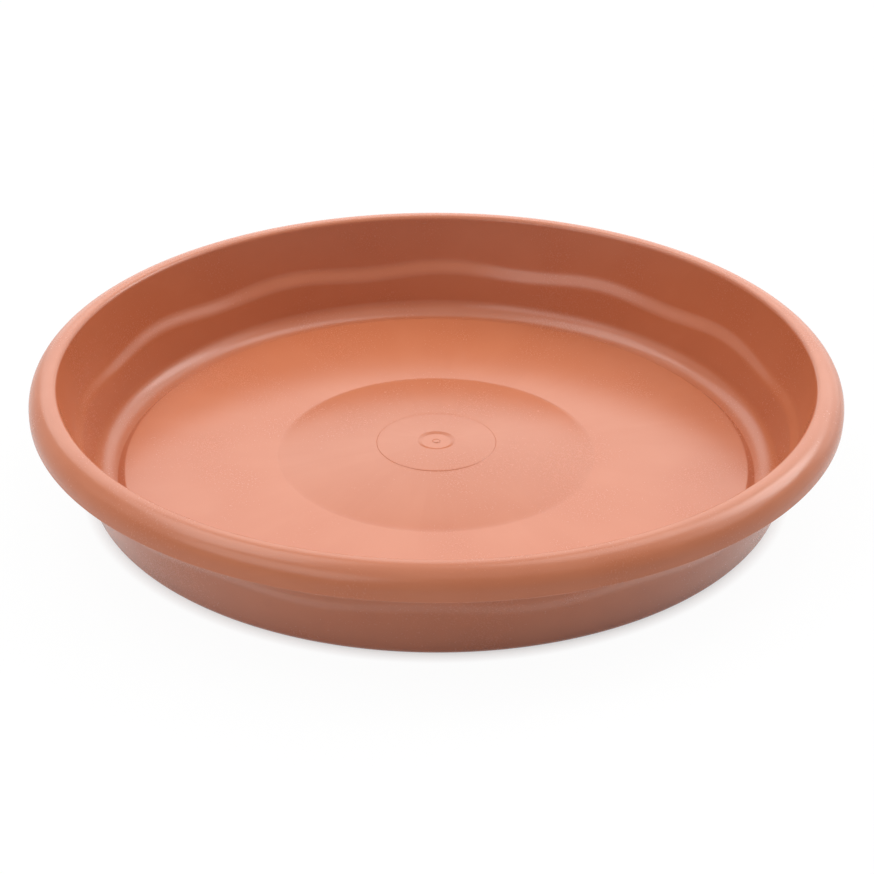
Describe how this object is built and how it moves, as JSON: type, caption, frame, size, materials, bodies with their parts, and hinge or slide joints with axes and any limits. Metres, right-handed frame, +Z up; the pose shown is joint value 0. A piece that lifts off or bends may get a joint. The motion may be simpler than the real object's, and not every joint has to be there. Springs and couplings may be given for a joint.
{
  "type": "plant saucer",
  "caption": "Round plastic plant saucer with a rolled rim, a wavy stacking ledge round its flared wall, a gutter that is also the foot ring, and a gently domed raised floor.",
  "frame": {"origin": "centre of the foot ring, on the plane that the saucer stands on", "axes": "+Z up along the saucer's axis of revolution, +X and +Y across it"},
  "size_m": [0.3, 0.3, 0.0433],
  "materials": {
    "terracotta_plastic": "satin, fine moulded grain"
  },
  "bodies": {
    "root": {"saucer": "terracotta_plastic"}
  },
  "joints": []
}
